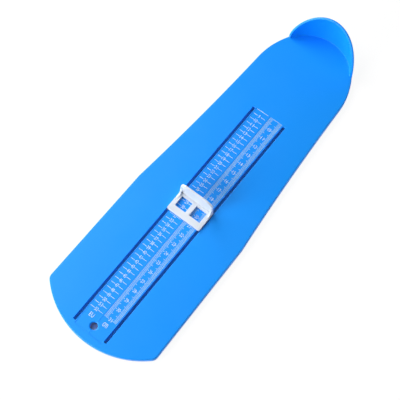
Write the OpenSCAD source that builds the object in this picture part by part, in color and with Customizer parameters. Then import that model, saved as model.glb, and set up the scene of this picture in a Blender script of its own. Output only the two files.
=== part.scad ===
// Foot measuring board with a heel cup and a sliding toe stop.
// Millimetres. +Y runs from the toe end to the heel end, +X is to the right when looking
// that way, +Z is up. The origin is under the middle of the board, on the table.

/* [Board] */
// How far the board runs on past the largest mark, at the toe end
toe_run = 25.9; // [24:0.1:32]
// Width of the board across its toe half
board_w = 110.2; // [104:0.2:116]
// Width of the board at the shoulder, where it starts to narrow
shoulder_w = 108; // [100:0.5:112]
// Distance of the shoulder from the toe end
shoulder_l = 136; // [115:1:155]
// Width of the board just in front of the heel cup
heel_end_w = 86.8; // [84:0.2:94]
// Length of the bend from each narrowing side into the heel cup
bend_l = 32; // [26:0.5:40]
// How far each narrowing side is hollowed inwards at its middle
waist = 1.2; // [0:0.05:1.5]
// Radius of the rounded toe end
toe_r = 77.5; // [72:0.5:95]
// Radius of the two corners beside the toe end
corner_r = 6.5; // [4:0.5:12]
// Height of the board's top face above the table
board_h = 5; // [4.6:0.1:8]
// Thickness of the board's top wall
plate_t = 2.2; // [1.6:0.1:2.4]
// Thickness of the rim that the board stands on
skirt_t = 2; // [1.4:0.1:3]

/* [Heel cup] */
// Inside radius of the heel cup
heel_r = 37.2; // [36:0.1:40]
// Thickness of the heel cup's wall
heel_wall = 2; // [1.8:0.1:3]
// Height of the heel cup above the board
heel_h = 32; // [20:0.2:36]
// Width of the heel cup where its rim meets the board
heel_span = 67.6; // [60:0.2:70]
// Radius of the cove where the cup rises from the board
cove_r = 0.3; // [0.2:0.1:3]

/* [Slots] */
// Width of the two slots
slot_w = 2.5; // [2.2:0.1:3.2]
// Distance between the centre lines of the slots
slot_gap = 31.6; // [30:0.2:36]
// How far the slots run past the largest mark, towards the toe end
slot_run_out = 17; // [15:0.5:18]
// Distance from the smallest mark to the heel ends of the slots
slot_short = 0.3; // [0:0.1:1]
// Width of the bevel along the slots' upper edges
slot_bevel = 0.35; // [0.1:0.05:0.5]

/* [Hanging hole] */
// Radius of the hanging hole
hole_r = 3.2; // [2:0.1:4]
// Width of the bevel round the hanging hole
hole_bevel = 0.9; // [0.3:0.1:1.2]
// Distance of the hole's centre from the toe end
hole_l = 14.1; // [13:0.1:18]

/* [Scales] */
// Foot length at the toe end of the scales
longest = 310; // [280:10:330]
// Foot length at the heel end of the scales
shortest = 90; // [80:10:140]
// Distance between two neighbouring sizes
size_step = 5; // [4:0.5:6]
// Depth of the two sunk fields that hold the scales
field_depth = 0.2; // [0.2:0.05:0.5]
// Width of the ridge between the two fields
ridge_w = 1.2; // [0.8:0.1:2]
// How far the fields run on past the slots' toe ends
field_over = 2; // [0:0.5:3]
// Width of the land between a field and the slot beside it
land_w = 0.85; // [0.6:0.05:1.2]
// Thickness of the printed ink
ink_t = 0.1; // [0.05:0.01:0.15]
// Width of a printed line
line_w = 0.25; // [0.2:0.05:0.5]
// Distance of the print from the edges of its field
print_margin = 0.6; // [0.3:0.05:1]
// Length of a millimetre mark
short_mark = 3; // [2:0.1:3.5]
// Length of a five-millimetre mark
long_mark = 4.2; // [3.6:0.1:4.4]
// Free width in the middle of the size column, for its numbers
number_w = 3.6; // [3:0.1:4.5]

/* [Slider] */
// Foot length that the slider stands at
reading = 191; // [95:1:275]
// How far each side of the slider lies inside the outer side of the slot under it
side_in = 0.35; // [0:0.05:0.6]
// Width of the border on the slider's toe side
toe_border = 5.8; // [4:0.1:8]
// Length of the two windows along the board
window_l = 10.2; // [8:0.1:12]
// Width of each window
window_w = 11; // [9:0.1:11.6]
// Width of the bar between the windows
bar_w = 3.9; // [3:0.1:5]
// Width of the border between the windows and the toe stop
heel_border = 2.3; // [1:0.1:4]
// Thickness of the slider's frame
frame_t = 2.2; // [1.6:0.1:3]
// Thickness of the toe stop
stop_t = 1.7; // [1.2:0.1:3]
// Height of the toe stop above the board
stop_h = 19; // [14:0.5:26]
// Radius of the toe stop's upper corners
stop_r = 6; // [2:0.5:9]
// How far each end of the toe stop is set in from the frame's side
stop_inset = 0.6; // [0.2:0.1:1.5]
// Length of the hollowed web that braces each end of the toe stop
web_l = 7; // [4:0.5:9]
// Height of that web above the frame
web_h = 10.5; // [6:0.5:12]
// Thickness of that web
web_t = 1.4; // [1:0.1:2]
// Radius of the frame's upright corners
frame_r = 1; // [0.4:0.1:1.6]

/* [Slider fastening] */
// Length of the leg that runs down each slot
leg_l = 13; // [10:0.5:14]
// Clearance between a leg and each side of its slot
leg_clear = 0.4; // [0.3:0.05:0.45]
// Clearance between a leg and the slot's end with the slider at the end of the scale
end_clear = 0.6; // [0.4:0.1:1]
// Clearance between the slider and the board, above it and below it
glide = 0.2; // [0.15:0.05:0.3]
// Thickness of the keeper under the board
keeper_t = 1.3; // [1:0.1:1.3]
// How far the keeper reaches past the legs on each side
keeper_edge = 2; // [1.5:0.1:3]
// How far the keeper reaches past the legs at each end
keeper_end = 1; // [0.6:0.1:2]
// Clearance round a leg in the keeper
keeper_clear = 0.15; // [0.1:0.05:0.25]
// Overhang of the barb at the foot of each leg
barb = 0.5; // [0.3:0.05:0.6]
// Height of the barb
barb_h = 0.6; // [0.4:0.1:0.7]

/* [Underside] */
// Thickness of the ribs
rib_t = 1.4; // [1:0.1:2]
// How far the ribs stop short of the table
rib_lift = 0.6; // [0.4:0.1:1]
// Clearance between the keeper and the two rails beside it
rail_clear = 0.6; // [0.4:0.1:1]
// How far the rails run on past each end of the slots
rail_over = 6; // [2:0.5:10]
// Distance between the cross ribs beside the rails
rib_pitch = 48; // [30:1:70]
// Distance between the cross ribs behind the slots
heel_rib_pitch = 33; // [20:1:50]

/* [Hidden] */
$fn = 96;
// how far solids that join run into each other, and how far a cutter runs past what it cuts
e = 0.01;
past = 1;
board_colour = [0.11, 0.56, 1];
ink_colour = [0.93, 0.96, 1];
slider_colour = [0.96, 0.96, 0.97];

// places along the board; its length holds the whole scale, measured from the heel
board_l = heel_wall + longest + stop_t + toe_run;
toe_y = -board_l / 2;
heel_y = board_l / 2 - heel_wall;
cup_y = heel_y - heel_r;
cup_out_r = heel_r + heel_wall;
shoulder_y = toe_y + shoulder_l;
toe_arc_y = toe_y + toe_r;
hole_y = toe_y + hole_l;

// the toe corners: centre of each corner's circle
corner_x = board_w / 2 - corner_r;
corner_y = toe_arc_y - sqrt(pow(toe_r - corner_r, 2) - pow(corner_x, 2));

// where the heel cup's rim meets the board
cup_end_x = heel_span / 2;
cup_end_y = cup_y + sqrt(pow(cup_out_r, 2) - pow(cup_end_x, 2));

// the bend from each narrowing side into the cup, tangent to both
bend_y = cup_end_y - bend_l;
side_slope = ((heel_end_w - shoulder_w) / 2 + 4 * waist) / (bend_y - shoulder_y);
cup_end_way = [cup_end_y - cup_y, -cup_end_x];
bend_k = (heel_end_w / 2 + side_slope * bend_l - cup_end_x) / (cup_end_way[0] - side_slope * cup_end_way[1]);
bend_pull = [cup_end_x, cup_end_y] + bend_k * cup_end_way;

// the scales: the toes touch the heel side of the stop, and its other side points at the mark
function mark_y(length) = heel_y - stop_t - length;
first_y = mark_y(longest);
last_y = mark_y(shortest);
slot_x = slot_gap / 2;
slot_toe_y = first_y - slot_run_out;
slot_heel_y = last_y - slot_short;
field_x = ridge_w / 2;
field_w = slot_x - slot_w / 2 - land_w - field_x;
field_toe_y = slot_toe_y - field_over;
field_heel_y = last_y + line_w / 2 + print_margin;
field_z = board_h - field_depth;
print_w = field_w - 2 * print_margin;

// the slider
slider_w = slot_gap + slot_w - 2 * side_in;
stop_w = slider_w - 2 * stop_inset;
stop_y = heel_y - reading;
frame_l = toe_border + window_l + heel_border + stop_t;
frame_y = stop_y - frame_l;
frame_z = board_h + glide;
leg_t = slot_w - 2 * leg_clear;
leg_y = stop_y - stop_t - slot_short - end_clear - leg_l;
under_z = board_h - plate_t;
keeper_z = under_z - glide - keeper_t;
keeper_w = slot_gap + leg_t + 2 * keeper_edge;
rail_x = keeper_w / 2 + rail_clear;

// a point on the curve from a to c, drawn towards b
function curve(a, b, c, t) = pow(1 - t, 2) * a + 2 * t * (1 - t) * b + pow(t, 2) * c;

// the point where the outline, moved in by inset, meets the cup's circle
end_in = [cup_end_x, cup_end_y - cup_y] / cup_out_r;
function cup_end(inset) = [cup_end_x, cup_end_y] - inset * end_in;

// half of the board's outline from the toe corner to the heel cup, moved in by inset
function side(inset) = let (
        sx = shoulder_w / 2 - inset,
        bx = heel_end_w / 2 - inset,
        steps = 12
    ) concat(
        [[board_w / 2 - inset, corner_y]],
        [for (i = [0 : steps])
            let (t = i / steps)
            [sx + (bx - sx) * t - 4 * waist * t * (1 - t), shoulder_y + (bend_y - shoulder_y) * t]],
        [for (i = [1 : steps])
            curve([bx, bend_y], bend_pull - [inset, inset * end_in[1]], cup_end(inset), i / steps)]
    );

// the board's outline, moved in by inset
module outline(inset) {
    half = side(inset);
    wedge = 2 * toe_r;
    direction = [corner_x, corner_y - toe_arc_y] / norm([corner_x, corner_y - toe_arc_y]);
    polygon(concat(half, [for (i = [len(half) - 1 : -1 : 0]) [-half[i][0], half[i][1]]]));
    for (s = [-1, 1]) translate([s * corner_x, corner_y]) circle(r = corner_r - inset);
    intersection() {
        translate([0, toe_arc_y]) circle(r = toe_r - inset, $fn = 240);
        polygon([[0, toe_arc_y], [0, toe_arc_y] + wedge * direction,
            [0, toe_arc_y] + wedge * [-direction[0], direction[1]]]);
    }
    intersection() {
        translate([0, cup_y]) circle(r = cup_out_r - inset, $fn = 180);
        translate([-board_w, cup_end(inset)[1]]) square([2 * board_w, board_l]);
    }
}

// a fan of material that stands round the cup's centre and is as high as the cup's rim,
// which is half an ellipse when it is seen along the board
module rim_fan() {
    steps = 60;
    sunk = 5 * e;
    depth = cove_r + heel_wall;
    points = [for (i = [0 : steps]) let (
            a = 90 * (2 * i / steps - 1),
            x = cup_end_x * sin(a) / cup_out_r,
            way = [x, sqrt(1 - x * x)],
            z = (heel_h + sunk) * cos(a) - sunk
        ) each [
            concat((heel_r - depth) * way, -past), concat((cup_out_r + past) * way, -past),
            concat((cup_out_r + past) * way, z), concat((heel_r - depth) * way, z)
        ]];
    last = 4 * steps;
    polyhedron(points, concat(
        [[0, 1, 2, 3], [last + 3, last + 2, last + 1, last]],
        [for (i = [0 : 4 : last - 4], j = [0 : 3]) let (k = (j + 1) % 4)
            each [[i + 4 + k, i + k, i + j], [i + 4 + j, i + 4 + k, i + j]]]
    ));
}

// the upright wall behind the heel, with a cove at its foot
module heel_cup() {
    translate([0, cup_y, board_h]) intersection() {
        translate([0, 0, -e]) union() {
            difference() {
                cylinder(r = cup_out_r, h = heel_h + past, $fn = 180);
                translate([0, 0, -past]) cylinder(r = heel_r, h = heel_h + 3 * past, $fn = 180);
            }
            rotate_extrude($fn = 180) difference() {
                translate([heel_r - cove_r, 0]) square([cove_r + e, cove_r]);
                translate([heel_r - cove_r, cove_r + e]) circle(r = cove_r, $fn = 48);
            }
        }
        rim_fan();
    }
}

// the rails that guide the keeper, and the ribs that stiffen the board
module ribs() {
    rib_h = under_z - rib_lift + e;
    rail_l = slot_heel_y - slot_toe_y + 2 * rail_over;
    intersection() {
        translate([0, 0, rib_lift]) linear_extrude(rib_h) outline(skirt_t / 2);
        translate([0, 0, rib_lift]) union() {
            for (s = [-1, 1])
                translate([s * (rail_x + rib_t / 2) - rib_t / 2, slot_toe_y - rail_over, 0])
                    cube([rib_t, rail_l, rib_h]);
            for (s = [-1, 1], y = [slot_toe_y + rib_pitch / 2 : rib_pitch : slot_heel_y])
                translate([s > 0 ? rail_x + rib_t / 2 : -rail_x - rib_t / 2 - board_w, y, 0])
                    cube([board_w, rib_t, rib_h]);
            for (y = [slot_heel_y + rail_over : heel_rib_pitch : cup_y])
                translate([-board_w / 2, y, 0]) cube([board_w, rib_t, rib_h]);
        }
    }
}

// one slot's cutter, with the bevel along its upper edges
module slot_cut() {
    l = slot_heel_y - slot_toe_y;
    translate([-slot_w / 2, slot_toe_y, -e]) cube([slot_w, l, board_h + past]);
    translate([0, slot_heel_y, board_h]) rotate([90, 0, 0]) linear_extrude(l) polygon([
        [-slot_w / 2 - slot_bevel, e], [slot_w / 2 + slot_bevel, e],
        [slot_w / 2, -slot_bevel], [-slot_w / 2, -slot_bevel]
    ]);
}

module measuring_board() color(board_colour) {
    difference() {
        linear_extrude(board_h) outline(0);
        translate([0, 0, -e]) linear_extrude(under_z + e) outline(skirt_t);
        for (s = [-1, 1]) translate([s * slot_x, 0, 0]) slot_cut();
        for (x = [-field_x - field_w, field_x])
            translate([x, field_toe_y, field_z]) cube([field_w, field_heel_y - field_toe_y, past]);
        translate([0, hole_y, 0]) cylinder(r = hole_r, h = board_h + past);
        translate([0, hole_y, field_z - hole_bevel / 2])
            cylinder(r1 = hole_r, r2 = hole_r + hole_bevel, h = hole_bevel / 2 + e);
        translate([0, hole_y, field_z]) cylinder(r = hole_r + hole_bevel, h = field_depth + past);
    }
    ribs();
    heel_cup();
}

// one printed line that runs across the board, centred on y
module line(x, y, l) {
    translate([x, y - line_w / 2, field_z]) cube([l, line_w, ink_t]);
}

module size_scale() color(ink_colour) {
    x = -field_x - field_w + print_margin;
    dash = (print_w - number_w) / 2;
    for (y = [first_y : size_step : last_y - size_step / 2]) {
        line(x, y, dash);
        line(x + print_w - dash, y, dash);
    }
    line(x, last_y, print_w);
}

// the mark of a foot length at x, pointing to the side given, and longer every five millimetres
function mark(length, x, side) =
    let (y = mark_y(length), l = side * (length % 5 == 0 ? long_mark : short_mark))
    [[x, y - line_w / 2], [x + l, y - line_w / 2], [x + l, y + line_w / 2], [x, y + line_w / 2]];

// two combs of marks that face each other, joined by the line at the smallest mark
module centimetre_scale() color(ink_colour) {
    x = field_x + print_margin + line_w / 2;
    far_x = field_x + field_w - print_margin - line_w / 2;
    lengths = [for (length = [shortest + 1 : longest]) length];
    translate([0, 0, field_z]) linear_extrude(ink_t) polygon(concat(
        [for (i = [len(lengths) - 1 : -1 : 0]) each mark(lengths[i], x, 1)],
        [[x, last_y - line_w / 2], [far_x, last_y - line_w / 2]],
        [for (length = lengths) let (m = mark(length, far_x, -1)) each [m[3], m[2], m[1], m[0]]],
        [[far_x + line_w / 2, first_y - line_w / 2], [far_x + line_w / 2, last_y + line_w / 2]],
        [[x - line_w / 2, last_y + line_w / 2], [x - line_w / 2, first_y - line_w / 2]]
    ));
}

// a leg with the barb that holds the keeper, for the slot on the right
module leg() {
    top = frame_z + e;
    translate([slot_x - leg_t / 2, leg_y, keeper_z - barb_h]) cube([leg_t, leg_l, top - keeper_z + barb_h]);
    translate([slot_x - leg_t / 2, leg_y + leg_l, keeper_z]) rotate([90, 0, 0]) linear_extrude(leg_l)
        polygon([[e, 0], [-barb, 0], [e, -barb_h]]);
}

// the toe stop's shape across the board, from the foot of the frame upwards
module stop_face() {
    h = stop_h - glide;
    translate([-stop_w / 2, 0]) square([stop_w, h - stop_r]);
    translate([-stop_w / 2 + stop_r, 0]) square([stop_w - 2 * stop_r, h]);
    for (s = [-1, 1])
        translate([s * (stop_w / 2 - stop_r), h - stop_r]) circle(r = stop_r);
}

module slider_frame() color(slider_colour) {
    difference() {
        union() {
            translate([-slider_w / 2, frame_y + frame_r, frame_z])
                cube([slider_w, frame_l - frame_r, frame_t]);
            translate([-slider_w / 2 + frame_r, frame_y, frame_z])
                cube([slider_w - 2 * frame_r, frame_l, frame_t]);
            for (s = [-1, 1])
                translate([s * (slider_w / 2 - frame_r), frame_y + frame_r, frame_z])
                    cylinder(r = frame_r, h = frame_t, $fn = 32);
        }
        for (x = [-bar_w / 2 - window_w, bar_w / 2])
            translate([x, frame_y + toe_border, frame_z - past])
                cube([window_w, window_l, frame_t + 2 * past]);
    }
    translate([0, stop_y, frame_z]) rotate([90, 0, 0]) linear_extrude(stop_t) stop_face();
    intersection() {
        translate([0, stop_y, frame_z]) rotate([90, 0, 0]) linear_extrude(frame_l) stop_face();
        for (x = [-stop_w / 2, stop_w / 2 - web_t])
            translate([x, stop_y - stop_t, frame_z + frame_t]) rotate([90, 0, 90]) linear_extrude(web_t)
                polygon(concat([[e, web_h], [e, -e], [-web_l, -e]],
                    [for (a = [0 : 7.5 : 90]) [-web_l * (1 - sin(a)), web_h * (1 - cos(a))]]));
    }
    leg();
    mirror([1, 0, 0]) leg();
}

module slider_keeper() color(slider_colour) {
    hole_x = slot_x - leg_t / 2 - keeper_clear;
    difference() {
        translate([-keeper_w / 2, leg_y - keeper_end, keeper_z])
            cube([keeper_w, leg_l + 2 * keeper_end, keeper_t]);
        for (x = [hole_x, -hole_x - leg_t - 2 * keeper_clear])
            translate([x, leg_y - keeper_clear, keeper_z - past])
                cube([leg_t + 2 * keeper_clear, leg_l + 2 * keeper_clear, keeper_t + 2 * past]);
    }
}

measuring_board();
size_scale();
centimetre_scale();
slider_frame();
slider_keeper();
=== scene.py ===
# Foot measuring board: a blue moulded board with a heel cup, two printed scales and a white
# toe stop. Lengths in the dictionaries are millimetres; +Y runs from the toe end to the heel.
from math import atan2, cos, hypot, pi, radians, sin, sqrt, tan

import bmesh
import bpy
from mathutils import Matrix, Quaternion, Vector


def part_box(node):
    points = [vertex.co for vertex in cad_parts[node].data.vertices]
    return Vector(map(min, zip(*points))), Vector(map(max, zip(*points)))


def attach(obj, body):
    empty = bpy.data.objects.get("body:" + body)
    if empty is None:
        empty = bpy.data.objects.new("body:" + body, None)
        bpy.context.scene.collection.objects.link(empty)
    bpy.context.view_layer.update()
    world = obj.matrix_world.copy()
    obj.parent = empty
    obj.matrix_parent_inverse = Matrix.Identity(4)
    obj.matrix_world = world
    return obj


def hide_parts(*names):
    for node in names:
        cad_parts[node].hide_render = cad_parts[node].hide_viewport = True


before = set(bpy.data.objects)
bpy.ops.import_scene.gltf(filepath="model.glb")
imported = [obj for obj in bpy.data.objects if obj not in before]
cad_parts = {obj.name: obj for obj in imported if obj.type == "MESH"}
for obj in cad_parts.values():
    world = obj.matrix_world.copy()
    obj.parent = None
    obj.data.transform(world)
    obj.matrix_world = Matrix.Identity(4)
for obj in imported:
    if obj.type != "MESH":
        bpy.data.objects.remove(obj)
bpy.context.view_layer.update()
mm = 0.001

boardLow, boardHigh = (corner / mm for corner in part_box("measuring_board"))
frameLow, frameHigh = (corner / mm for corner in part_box("slider_frame"))
keeperLow, keeperHigh = (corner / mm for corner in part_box("slider_keeper"))


# mesh helpers, which take millimetres

def newPiece(name, points, faces):
    mesh = bpy.data.meshes.new(name)
    mesh.from_pydata([[c * mm for c in p] for p in points], [], faces)
    piece = bpy.data.objects.new(name, mesh)
    bpy.context.scene.collection.objects.link(piece)
    work = bmesh.new()
    work.from_mesh(mesh)
    bmesh.ops.recalc_face_normals(work, faces=work.faces)
    work.to_mesh(mesh)
    work.free()
    return piece


def loft(name, rings):
    # closed rings of as many points each, joined one after the other and capped at both ends
    n = len(rings[0])
    points = [p for ring in rings for p in ring]
    faces = [[r * n + i, r * n + (i + 1) % n, (r + 1) * n + (i + 1) % n, (r + 1) * n + i]
             for r in range(len(rings) - 1) for i in range(n)]
    faces.append(list(range(n)))
    faces.append([(len(rings) - 1) * n + i for i in range(n)])
    return newPiece(name, points, faces)


def block(name, x, y, z):
    corners = [(x[0], y[0]), (x[1], y[0]), (x[1], y[1]), (x[0], y[1])]
    return loft(name, [[(cx, cy, level) for cx, cy in corners] for level in z])


def roundedLoop(x, y, corner, level, grow=0):
    # a rectangle with rounded corners, grown outwards all round
    r = corner + grow
    loop = []
    for cx, cy, start in ((x[1] - corner, y[1] - corner, 0), (x[0] + corner, y[1] - corner, 1),
                          (x[0] + corner, y[0] + corner, 2), (x[1] - corner, y[0] + corner, 3)):
        for i in range(5):
            a = pi / 2 * (start + i / 4)
            loop.append((cx + r * cos(a), cy + r * sin(a), level))
    return loop


def applied(piece):
    # the piece's modifiers become part of its mesh
    graph = bpy.context.evaluated_depsgraph_get()
    mesh = bpy.data.meshes.new_from_object(piece.evaluated_get(graph))
    piece.modifiers.clear()
    piece.data = mesh
    return piece


def combine(piece, other, operation):
    step = piece.modifiers.new("combine", "BOOLEAN")
    step.solver = "MANIFOLD"
    step.operation = operation
    step.object = other
    applied(piece)
    bpy.data.objects.remove(other)
    return piece


shading = {"angle": 32, "weld": 0.002, "flatWeight": 80}


def shade(piece):
    # smooth shading that breaks at edges sharper than the angle, with the flat faces kept flat
    work = bmesh.new()
    work.from_mesh(piece.data)
    bmesh.ops.remove_doubles(work, verts=work.verts, dist=shading["weld"] * mm)
    bmesh.ops.dissolve_degenerate(work, edges=work.edges, dist=shading["weld"] * mm)
    for face in work.faces:
        face.smooth = True
    for edge in work.edges:
        edge.smooth = len(edge.link_faces) == 2 and edge.calc_face_angle(0) < radians(shading["angle"])
    work.to_mesh(piece.data)
    work.free()
    flat = piece.modifiers.new("flatFaces", "WEIGHTED_NORMAL")
    flat.keep_sharp = True
    flat.weight = shading["flatWeight"]
    return applied(piece)


def mix(a, b, share):
    return a + (b - a) * share


# the board, with its cup

board = {
    "height": 5, "plate": 2.2, "skirt": 2, "width": boardHigh.x - boardLow.x,
    "shoulderWidth": 108, "shoulderAt": 136, "heelEndWidth": 86.8, "waist": 1.2,
    "bendLength": 32, "toeRadius": 77.5, "cornerRadius": 6.5,
    "edgeRadius": 1.0, "footRadius": 0.4, "underRadius": 0.8,
    "cupRadius": 37.2, "cupWall": 2, "cupSpan": 67.6,
    "rimOuter": 0.4, "rimInner": 1.1, "rimBlend": 3, "cove": 0.3, "topMargin": 0.5,
}
toeY = boardLow.y
heelY = boardHigh.y - board["cupWall"]
cupY = heelY - board["cupRadius"]
cupOut = board["cupRadius"] + board["cupWall"]
cupHeight = boardHigh.z - board["height"]
underZ = board["height"] - board["plate"]


def rimHeight(x, y):
    # height of the cup's rim over the board's top, half an ellipse, and none away from the cup
    share = 2 * abs(x) / board["cupSpan"]
    onCup = hypot(x, y - cupY) >= cupOut - 0.01  # with a little room for rounding
    if y < cupY or share >= 1 or not onCup:
        return 0
    return cupHeight * sqrt(1 - share * share)


def halfOutline():
    # the side at +X, from the middle of the toe end to the middle of the cup
    toeArcY = toeY + board["toeRadius"]
    cornerX = board["width"] / 2 - board["cornerRadius"]
    cornerY = toeArcY - sqrt((board["toeRadius"] - board["cornerRadius"]) ** 2 - cornerX ** 2)
    cornerWay = atan2(cornerX, toeArcY - cornerY)
    shoulderX, shoulderY = board["shoulderWidth"] / 2, toeY + board["shoulderAt"]
    endX = board["cupSpan"] / 2
    endY = cupY + sqrt(cupOut ** 2 - endX ** 2)
    bendX, bendY = board["heelEndWidth"] / 2, endY - board["bendLength"]
    # the bend is pulled to the point where the side's direction meets the cup's
    slope = (bendX - shoulderX + 4 * board["waist"]) / (bendY - shoulderY)
    wayX, wayY = endY - cupY, -endX
    reach = (bendX + slope * board["bendLength"] - endX) / (wayX - slope * wayY)
    pullX, pullY = endX + reach * wayX, endY + reach * wayY

    points = []
    for i in range(41):
        a = cornerWay * i / 40
        points.append((board["toeRadius"] * sin(a), toeArcY - board["toeRadius"] * cos(a)))
    for i in range(1, 13):
        a = mix(cornerWay, pi / 2, i / 12)
        points.append((cornerX + board["cornerRadius"] * sin(a),
                       cornerY - board["cornerRadius"] * cos(a)))
    for i in range(1, 13):
        points.append((mix(board["width"] / 2, shoulderX, i / 12), mix(cornerY, shoulderY, i / 12)))
    for i in range(1, 31):
        t = i / 30
        points.append((mix(shoulderX, bendX, t) - 4 * board["waist"] * t * (1 - t),
                       mix(shoulderY, bendY, t)))
    for i in range(1, 21):
        t = i / 20
        points.append((mix(mix(bendX, pullX, t), mix(pullX, endX, t), t),
                       mix(mix(bendY, pullY, t), mix(pullY, endY, t), t)))
    for i in range(1, 73):
        x = endX * sin(pi / 2 * (1 - i / 72))
        points.append((x, cupY + sqrt(cupOut ** 2 - x * x)))
    return points


halfSide = halfOutline()
outline = halfSide + [(-x, y) for x, y in halfSide[-2:0:-1]]


def inwards():
    # the inward direction at each point of the outline
    ways = []
    for i, (x, y) in enumerate(outline):
        before, after = outline[i - 1], outline[(i + 1) % len(outline)]
        a = Vector((x - before[0], y - before[1])).normalized()
        b = Vector((after[0] - x, after[1] - y)).normalized()
        along = (a + b).normalized()
        ways.append((-along.y, along.x))
    return ways


inward = inwards()
rim = [rimHeight(x, y) for x, y in outline]


def ringAt(insets, levels):
    return [(x + wx * d, y + wy * d, z)
            for (x, y), (wx, wy), d, z in zip(outline, inward, insets, levels)]


def flatRing(inset, level):
    return ringAt([inset] * len(outline), [level] * len(outline))


def boardShell():
    # from the plate's underside down the rim's inner face, round its foot and up to the cup
    top, wall, cove = board["height"], board["cupWall"], board["cove"]
    skirt, foot, under = board["skirt"], board["footRadius"], board["underRadius"]
    count = len(outline)
    rings = [flatRing(skirt + under, underZ), flatRing(skirt + under / 4, underZ - under / 4),
             flatRing(skirt, underZ - under), flatRing(skirt, foot),
             flatRing(skirt - foot, 0), flatRing(foot, 0), flatRing(0, foot)]
    # the outer edge: round over the board's side, a tighter round along the cup's rim
    edge = [mix(board["edgeRadius"], board["rimOuter"], min(1, h / board["rimBlend"])) for h in rim]
    for i in range(9):
        a = pi / 2 * i / 8
        rings.append(ringAt([r * (1 - cos(a)) for r in edge],
                            [top + h - r * (1 - sin(a)) for r, h in zip(edge, rim)]))
    # the rim's inner edge, then the cup's inner wall and the cove at its foot
    r = board["rimInner"]
    for i in range(1, 7):
        a = pi / 2 * i / 6
        rings.append(ringAt([wall - r + r * sin(a)] * count,
                            [top + max(0, h - r * (1 - cos(a))) for h in rim]))
    for i in range(8):
        a = pi / 2 * i / 7
        rings.append(ringAt([wall + cove * (1 - cos(a))] * count,
                            [top + min(h, cove * (1 - sin(a))) for h in rim]))
    rings.append(flatRing(wall + cove + board["topMargin"], top))
    return loft("measuringBoard", rings)


# slots, sunk fields, marks and the hanging hole

scales = {
    "longest": 310, "shortest": 90, "stop": 1.7, "step": 5,
    "slotGap": 31.6, "slotWidth": 2.5, "slotRunOut": 17, "slotShort": 0.3,
    "slotEdge": 0.35, "slotCorner": 0.1,
    "ridge": 1.2, "land": 0.85, "depth": 0.2, "fieldOver": 2, "fieldEdge": 0.18, "fieldCorner": 0.3,
    "line": 0.25, "margin": 0.6, "ink": 0.1,
}
hole = {
    "radius": 3.2, "bevel": 0.9, "fromToe": 14.1,
    "innerSoft": 0.06, "outerSoft": 0.1, "softHeight": 0.05, "lip": 0.02, "flare": 0.3,
}
cutting = {"below": -1, "past": 0.1, "lean": 75}  # the cutters' ends, and the slope of their edges


def markY(length):
    return heelY - scales["stop"] - length


slotToe = markY(scales["longest"]) - scales["slotRunOut"]
slotHeel = markY(scales["shortest"]) - scales["slotShort"]
slotX = scales["slotGap"] / 2
fieldX = scales["ridge"] / 2
fieldWidth = slotX - scales["slotWidth"] / 2 - scales["land"] - fieldX
fieldZ = board["height"] - scales["depth"]


def pocket(x, y, floor, edge, corner):
    # a cutter with upright walls, a round over its upper edge and rounded upright corners
    top, lean = board["height"], radians(cutting["lean"])
    rings = [(0, floor), (0, top - edge)]
    for i in range(1, 5):
        a = lean * i / 4
        rings.append((edge * (1 - cos(a)), top - edge * (1 - sin(a))))
    grown, level = rings[-1]
    past = top + cutting["past"]
    rings.append((grown + (past - level) * tan(lean), past))
    return loft("cutter", [roundedLoop(x, y, corner, level, grow) for grow, level in rings])


def holeCutter():
    narrow, wide = hole["radius"], hole["radius"] + hole["bevel"]
    holeY = toeY + hole["fromToe"]
    bevelZ = fieldZ - hole["bevel"] / 2
    soft = hole["softHeight"]
    profile = [(narrow, cutting["below"]), (narrow, bevelZ - soft),
               (narrow + hole["innerSoft"], bevelZ + soft),
               (wide - hole["outerSoft"], fieldZ - hole["innerSoft"]), (wide + hole["lip"], fieldZ),
               (wide + hole["flare"], board["height"] + cutting["past"])]
    turns = [2 * pi * i / 72 for i in range(72)]
    return loft("cutter", [[(r * cos(a), holeY + r * sin(a), z) for a in turns] for r, z in profile])


underside = {"rib": 1.4, "lift": 0.6, "railClear": 0.6, "railOver": 6, "pitch": 48, "heelPitch": 33}


def halfWidthAt(y):
    for (x0, y0), (x1, y1) in zip(halfSide, halfSide[1:]):
        if y0 <= y <= y1:
            return mix(x0, x1, (y - y0) / (y1 - y0))
    return 0


def addRibs(shell):
    # a rail on each side of the keeper, and ribs from there to the board's rim
    t, over = underside["rib"], underside["railOver"]
    z = (underside["lift"], underZ + board["plate"] / 4)
    railX = keeperHigh.x + underside["railClear"]
    inset = board["skirt"] / 2
    for side in (-1, 1):
        xs = sorted((side * railX, side * (railX + t)))
        combine(shell, block("rail", xs, (slotToe - over, slotHeel + over), z), "UNION")
        y = slotToe + underside["pitch"] / 2
        while y <= slotHeel:
            xs = sorted((side * (railX + t / 2), side * (halfWidthAt(y) - inset)))
            combine(shell, block("rib", xs, (y, y + t), z), "UNION")
            y += underside["pitch"]
    y = slotHeel + over
    while y <= cupY:
        x = halfWidthAt(y + t) - inset
        combine(shell, block("rib", (-x, x), (y, y + t), z), "UNION")
        y += underside["heelPitch"]


def makeBoard():
    shell = boardShell()
    addRibs(shell)
    half = scales["slotWidth"] / 2
    fieldHeel = markY(scales["shortest"]) + scales["line"] / 2 + scales["margin"]
    for side in (-1, 1):
        x = side * slotX
        slot = pocket((x - half, x + half), (slotToe, slotHeel), cutting["below"],
                      scales["slotEdge"], scales["slotCorner"])
        combine(shell, slot, "DIFFERENCE")
        xs = sorted((side * fieldX, side * (fieldX + fieldWidth)))
        field = pocket(xs, (slotToe - scales["fieldOver"], fieldHeel), fieldZ,
                       scales["fieldEdge"], scales["fieldCorner"])
        combine(shell, field, "DIFFERENCE")
    combine(shell, holeCutter(), "DIFFERENCE")
    return shade(shell)


measuringBoard = makeBoard()
print("board made")


# the slider: a plate with two windows, the toe stop, its webs and the legs

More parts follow.
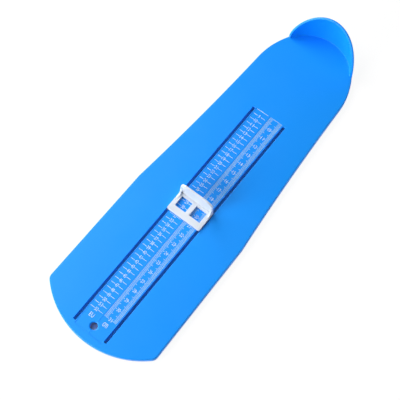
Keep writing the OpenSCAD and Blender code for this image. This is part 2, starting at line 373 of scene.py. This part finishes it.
slider = {
    "thick": 2.2, "glide": 0.2, "toeBorder": 5.8, "window": (11, 10.2), "bar": 3.9, "corner": 1,
    "stop": 1.7, "stopInset": 0.6, "stopCorner": 6, "webLength": 7, "webHeight": 10.5, "web": 1.4,
    "rooted": 1, "edge": 0.4, "edgeAngle": 40,
    "legClear": 0.4, "legLength": 13, "barb": 0.5, "barbHeight": 0.6, "endClear": 0.6,
}
plateLow = board["height"] + slider["glide"]
deck = plateLow + slider["thick"]
root = deck - slider["rooted"]  # how deep the stop and the webs reach into the plate
stopToe = frameHigh.y - slider["stop"]


def sliderPlate():
    x, y = (frameLow.x, frameHigh.x), (frameLow.y, frameHigh.y)
    plate = loft("sliderFrame", [roundedLoop(x, y, slider["corner"], z) for z in (plateLow, deck)])
    wide, long = slider["window"]
    toeEdge = frameLow.y + slider["toeBorder"]
    for left in (-slider["bar"] / 2 - wide, slider["bar"] / 2):
        window = block("cutter", (left, left + wide), (toeEdge, toeEdge + long), (0, frameHigh.z))
        combine(plate, window, "DIFFERENCE")
    return plate


def stopFace(half):
    # the upright stop with its two rounded corners
    r, high = slider["stopCorner"], frameHigh.z
    turns = [pi / 2 * i / 12 for i in range(13)]
    edge = [(half, root)] + [(half - r + r * cos(a), high - r + r * sin(a)) for a in turns]
    edge += [(-x, z) for x, z in reversed(edge)]
    return loft("stop", [[(x, y, z) for x, z in edge] for y in (stopToe, frameHigh.y)])


def web(left):
    # the brace in front of the stop, with a hollow curve
    back = frameHigh.y - slider["stop"] / 2
    front = stopToe - slider["webLength"]
    side = [(back, root), (front, root), (front, deck)]
    for i in range(1, 9):
        a = pi / 2 * i / 8
        side.append((mix(front, stopToe, sin(a)), deck + slider["webHeight"] * (1 - cos(a))))
    side.append((back, deck + slider["webHeight"]))
    return loft("web", [[(x, y, z) for y, z in side] for x in (left, left + slider["web"])])


def leg(side):
    # a leg that runs in its slot, with its barb under the keeper
    t = scales["slotWidth"] - 2 * slider["legClear"]
    toeEnd = stopToe - scales["slotShort"] - slider["endClear"] - slider["legLength"]
    inner, outer = side * (slotX - t / 2), side * (slotX + t / 2)
    hook, foot = inner - side * slider["barb"], keeperLow.z
    tip = foot - slider["barbHeight"]
    shape = [(outer, plateLow + slider["rooted"]), (inner, plateLow + slider["rooted"]),
             (inner, foot), (hook, foot), (inner, tip), (outer, tip)]
    ends = (toeEnd, toeEnd + slider["legLength"])
    return loft("leg", [[(x, y, z) for x, z in shape] for y in ends])


def makeSlider():
    body = sliderPlate()
    half = frameHigh.x - slider["stopInset"]
    combine(body, stopFace(half), "UNION")
    for left in (-half, half - slider["web"]):
        combine(body, web(left), "UNION")
    soften = body.modifiers.new("soften", "BEVEL")
    soften.width = slider["edge"] * mm
    soften.segments = 3
    soften.limit_method = "ANGLE"
    soften.angle_limit = radians(slider["edgeAngle"])
    applied(body)
    for side in (-1, 1):
        combine(body, leg(side), "UNION")
    return shade(body)


sliderFrame = makeSlider()
print("slider made")


# numbers and unit marks; the bold values thicken the strokes, or thin them below 0

numerals = {
    "digitHeight": 3, "pairWidth": 2.7, "digitBold": -0.012, "numberX": (-7.15, 7.35),
    "unitHeight": 3.5, "unitWidth": 4.1, "unitBold": -0.012, "unitX": (-7.2, 6.8), "unitY": -5.9,
    "sizeLess": 10, "centimetre": 10,
}


def wordMesh(name, text, bold):
    curve = bpy.data.curves.new(name, "FONT")
    curve.body = text
    curve.offset = bold
    curve.extrude = scales["ink"] / 2
    curve.resolution_u = 3
    piece = bpy.data.objects.new(name, curve)
    bpy.context.scene.collection.objects.link(piece)
    graph = bpy.context.evaluated_depsgraph_get()
    mesh = bpy.data.meshes.new_from_object(piece.evaluated_get(graph))
    bpy.data.objects.remove(piece)
    return mesh


def lettering(name, words, height, fullWidth, bold):
    # each word is (text, x, y); its letters are as high as given, and two share the width given
    joined = bmesh.new()
    for text, x, y in words:
        mesh = wordMesh(name, text, bold)
        xs = [v.co.x for v in mesh.vertices]
        ys = [v.co.y for v in mesh.vertices]
        middleX, middleY = (max(xs) + min(xs)) / 2, (max(ys) + min(ys)) / 2
        wide = fullWidth * len(text) / 2 / (max(xs) - min(xs))
        tall = height / (max(ys) - min(ys))
        for v in mesh.vertices:
            v.co = (x + (v.co.x - middleX) * wide, y + (v.co.y - middleY) * tall,
                    fieldZ + v.co.z + scales["ink"] / 2)
            v.co *= mm
        joined.from_mesh(mesh)
    result = bpy.data.meshes.new(name)
    joined.to_mesh(result)
    joined.free()
    piece = bpy.data.objects.new(name, result)
    bpy.context.scene.collection.objects.link(piece)
    return piece


def makePrints():
    sizes, centimetres = [], []
    sizeX, centimetreX = numerals["numberX"]
    for length in range(scales["longest"], scales["shortest"], -scales["step"]):
        sizes.append((str(length // scales["step"] - numerals["sizeLess"]), sizeX, markY(length)))
        if length % numerals["centimetre"] == 0:
            centimetres.append((str(length // numerals["centimetre"]), centimetreX, markY(length)))
    unitY = markY(scales["longest"]) + numerals["unitY"]
    units = [(text, x, unitY) for text, x in zip(("EU", "cm"), numerals["unitX"])]
    digitLook = numerals["digitHeight"], numerals["pairWidth"], numerals["digitBold"]
    unitLook = numerals["unitHeight"], numerals["unitWidth"], numerals["unitBold"]
    return [
        lettering("sizeNumbers", sizes, *digitLook),
        lettering("centimetreNumbers", centimetres, *digitLook),
        lettering("unitMarks", units, *unitLook),
    ]


prints = makePrints()
print("prints made")


# finishes; the pairs are a noise's scale and detail, or a lowest and highest value

bluePlastic = {
    "dark": (0.002, 0.286, 0.97), "light": (0.003, 0.301, 0.99), "drift": (9, 2),
    "roughness": (0.36, 0.46), "patches": (60, 4), "specular": 0.3,
    "grain": (900, 3), "grainDepth": 0.05, "grainStrength": 0.25,
}
whitePlastic = {
    "dark": (0.67, 0.715, 0.77), "light": (0.70, 0.745, 0.80), "drift": (40, 2),
    "roughness": (0.34, 0.44), "patches": (200, 3), "specular": 0.5,
    "grain": (1200, 2), "grainDepth": 0.04, "grainStrength": 0.2,
    "glow": 0.6, "glowDepth": 2,
}
whiteInk = {
    "dark": (0.74, 0.90, 0.95), "light": (0.82, 0.95, 0.98), "drift": (1500, 3),
    "roughness": (0.5, 0.65), "patches": (700, 2), "specular": 0.5,
    "grain": (1500, 3), "grainDepth": 0.02, "grainStrength": 0.3,
}
thinInk = {**whiteInk, "dark": (0.50, 0.71, 0.76), "light": (0.60, 0.81, 0.84)}  # for the fine marks


def newMaterial(name):
    material = bpy.data.materials.new(name)
    material.use_nodes = True
    nodes, links = material.node_tree.nodes, material.node_tree.links
    return material, nodes, links, nodes["Principled BSDF"]


def noise(nodes, links, scale, detail):
    place = nodes.new("ShaderNodeTexCoord")
    texture = nodes.new("ShaderNodeTexNoise")
    texture.inputs["Scale"].default_value = scale
    texture.inputs["Detail"].default_value = detail
    links.new(place.outputs["Object"], texture.inputs["Vector"])
    return texture.outputs["Fac"]


noiseSpan = {"low": 0.3, "high": 0.7}  # the part of the noise's values that a finish uses


def spread(nodes, links, source, low, high):
    step = nodes.new("ShaderNodeMapRange")
    step.inputs["From Min"].default_value = noiseSpan["low"]
    step.inputs["From Max"].default_value = noiseSpan["high"]
    step.inputs["To Min"].default_value = low
    step.inputs["To Max"].default_value = high
    links.new(source, step.inputs["Value"])
    return step.outputs["Result"]


def tint(nodes, links, source, dark, light):
    ramp = nodes.new("ShaderNodeValToRGB")
    ramp.color_ramp.elements[0].position = noiseSpan["low"]
    ramp.color_ramp.elements[1].position = noiseSpan["high"]
    ramp.color_ramp.elements[0].color = (*dark, 1)
    ramp.color_ramp.elements[1].color = (*light, 1)
    links.new(source, ramp.inputs["Fac"])
    return ramp.outputs["Color"]


def bump(nodes, links, source, depth, strength):
    step = nodes.new("ShaderNodeBump")
    step.inputs["Distance"].default_value = depth * mm
    step.inputs["Strength"].default_value = strength
    links.new(source, step.inputs["Height"])
    return step.outputs["Normal"]


def finish(name, look):
    material, nodes, links, shader = newMaterial(name)
    drift = noise(nodes, links, *look["drift"])
    patches = noise(nodes, links, *look["patches"])
    grain = noise(nodes, links, *look["grain"])
    links.new(tint(nodes, links, drift, look["dark"], look["light"]), shader.inputs["Base Color"])
    links.new(spread(nodes, links, patches, *look["roughness"]), shader.inputs["Roughness"])
    relief = bump(nodes, links, grain, look["grainDepth"], look["grainStrength"])
    links.new(relief, shader.inputs["Normal"])
    shader.inputs["Specular IOR Level"].default_value = look["specular"]
    if "glow" in look:  # light that passes through the plastic near its surface
        shader.inputs["Subsurface Weight"].default_value = look["glow"]
        shader.inputs["Subsurface Radius"].default_value = (1, 1, 1)
        shader.inputs["Subsurface Scale"].default_value = look["glowDepth"] * mm
    return material


def dress(piece, material):
    piece.data.materials.clear()
    piece.data.materials.append(material)


blue, white = finish("bluePlastic", bluePlastic), finish("whitePlastic", whitePlastic)
ink, fineInk = finish("whiteInk", whiteInk), finish("thinInk", thinInk)
dress(measuringBoard, blue)
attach(measuringBoard, "board")
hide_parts("measuring_board")

dress(sliderFrame, white)
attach(sliderFrame, "slider")
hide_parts("slider_frame")

for piece in prints:
    dress(piece, ink)
    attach(piece, "board")

for node, material in (("size_scale", ink), ("centimetre_scale", fineInk), ("slider_keeper", white)):
    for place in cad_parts[node].material_slots:
        place.material = material
print("finishes set")


# table, light and camera; the powers are watts

table = {
    "size": 4000, "drop": 0.6, "colour": 0.8, "glow": 0.93, "shade": 0.11, "roughness": 0.9,
    # the slot and hole colours and glows are painted light: blue light bounced off the board's
    # underside, and light falling through the hole
    "slotPaintedBounce": (0.14, 0.60, 1, 1), "slotPaintedGlow": (0.008, 0.03, 0.05, 1),
    "holePaintedLight": (0.38, 0.54, 0.80, 1), "holePaintedGlow": (0.035, 0.04, 0.03, 1), "holeSpot": 6,
}
lamps = {
    "keyLight": {"place": (-600, 110, 430), "size": 650, "power": 5.7},
    "fillLight": {"place": (-330, -880, 380), "size": 600, "power": 9.9},
    "sheenLight": {"place": (-420, -170, 850), "size": 300, "power": 1.1},
    "sideLight": {"place": (750, 250, 60), "size": 300, "power": 2.4},
}
ambientLight = 0.05
camera = {
    "place": (195.68, -247.31, 751.57), "aim": (-0.42, -19.15, 0), "roll": -2.764,
    "focal": 87.52, "sensor": 36, "shift": (-0.00125, 0.00125), "nearest": 50, "farthest": 20000,
}


def seenDirectly(nodes, links):
    # 1 for what the camera sees, also in a reflection or through glass
    path = nodes.new("ShaderNodeLightPath")
    total = path.outputs["Is Camera Ray"]
    for name in ("Is Glossy Ray", "Is Transmission Ray"):
        step = nodes.new("ShaderNodeMath")
        step.operation = "MAXIMUM"
        links.new(total, step.inputs[0])
        links.new(path.outputs[name], step.inputs[1])
        total = step.outputs[0]
    return total


def chosenShader(nodes, links, lighting, shown, output):
    # one shader lights the object, the other is what the camera sees
    choose = nodes.new("ShaderNodeMixShader")
    links.new(seenDirectly(nodes, links), choose.inputs[0])
    links.new(lighting.outputs[0], choose.inputs[1])
    links.new(shown.outputs[0], choose.inputs[2])
    links.new(choose.outputs[0], nodes[output].inputs["Surface"])


def paleTable():
    material, nodes, links, shader = newMaterial("paleTable")
    shader.inputs["Base Color"].default_value = (table["colour"],) * 3 + (1,)
    shader.inputs["Roughness"].default_value = table["roughness"]
    lift = nodes.new("ShaderNodeEmission")
    lift.inputs["Strength"].default_value = table["glow"]
    thin = nodes.new("ShaderNodeBsdfDiffuse")  # takes the object's shadow
    thin.inputs["Color"].default_value = (table["shade"],) * 3 + (1,)
    shown = nodes.new("ShaderNodeAddShader")
    links.new(lift.outputs[0], shown.inputs[0])
    links.new(thin.outputs[0], shown.inputs[1])
    chosenShader(nodes, links, shader, shown, "Material Output")
    return material


# painted bounce light: the colour and the glow stand in for light that the blue board reflects onto the
# table beneath it
def paintedBounceTable(colour, glow):
    material, nodes, links, shader = newMaterial("paintedBounceTable")
    shader.inputs["Base Color"].default_value = colour
    shader.inputs["Emission Color"].default_value = glow
    shader.inputs["Emission Strength"].default_value = 1
    shader.inputs["Roughness"].default_value = table["roughness"]
    shader.inputs["Specular IOR Level"].default_value = 0
    return material


def makeTable():
    half, drop = table["size"] / 2, table["drop"]
    corners = [(-half, -half, -drop), (half, -half, -drop), (half, half, -drop), (-half, half, -drop)]
    floor = newPiece("floor", corners, [[0, 1, 2, 3]])
    dress(floor, paleTable())
    # the table under the board, as the slots and the hole show it: sheets whose colour and glow are
    # painted bounce light from the blue board, with a greyer painted pool of light under the hole
    paintedSheet = newPiece("paintedBounceSheet", flatRing(board["skirt"] / 2, -drop / 2), [list(range(len(outline)))])
    dress(paintedSheet, paintedBounceTable(table["slotPaintedBounce"], table["slotPaintedGlow"]))
    # a painted pool of light on the table under the hanging hole, lighter and less blue than the slots'
    # sheet
    r, holeY = table["holeSpot"], toeY + hole["fromToe"]
    disc = [(r * cos(pi * i / 12), holeY + r * sin(pi * i / 12), -drop / 4) for i in range(24)]
    paintedPool = newPiece("paintedHoleSheet", disc, [list(range(24))])
    dress(paintedPool, paintedBounceTable(table["holePaintedLight"], table["holePaintedGlow"]))


def softLight(name, lamp):
    light = bpy.data.lights.new(name, "AREA")
    light.shape = "DISK"
    light.size = lamp["size"] * mm
    light.energy = lamp["power"]
    piece = bpy.data.objects.new(name, light)
    bpy.context.scene.collection.objects.link(piece)
    piece.location = Vector(lamp["place"]) * mm
    piece.rotation_mode = "QUATERNION"
    piece.rotation_quaternion = (-piece.location).to_track_quat("-Z", "Y")


def makeWorld():
    world = bpy.data.worlds.new("studio")
    world.use_nodes = True
    bpy.context.scene.world = world
    nodes, links = world.node_tree.nodes, world.node_tree.links
    ambient = nodes["Background"]
    ambient.inputs["Strength"].default_value = ambientLight
    ambient.inputs["Color"].default_value = (1, 1, 1, 1)
    backdrop = nodes.new("ShaderNodeBackground")
    chosenShader(nodes, links, ambient, backdrop, "World Output")


def makeCamera():
    lens = bpy.data.cameras.new("camera")
    piece = bpy.data.objects.new("camera", lens)
    bpy.context.scene.collection.objects.link(piece)
    lens.sensor_width = camera["sensor"]
    lens.lens = camera["focal"]
    lens.shift_x, lens.shift_y = camera["shift"]
    lens.clip_start, lens.clip_end = camera["nearest"] * mm, camera["farthest"] * mm
    place, aim = Vector(camera["place"]) * mm, Vector(camera["aim"]) * mm
    piece.location = place
    piece.rotation_mode = "QUATERNION"
    roll = Quaternion((0, 0, 1), radians(camera["roll"]))
    piece.rotation_quaternion = (aim - place).to_track_quat("-Z", "Y") @ roll
    bpy.context.scene.camera = piece


makeTable()
for name, lamp in lamps.items():
    softLight(name, lamp)
makeWorld()
makeCamera()
bpy.context.scene.view_settings.view_transform = "Standard"
print("studio set")
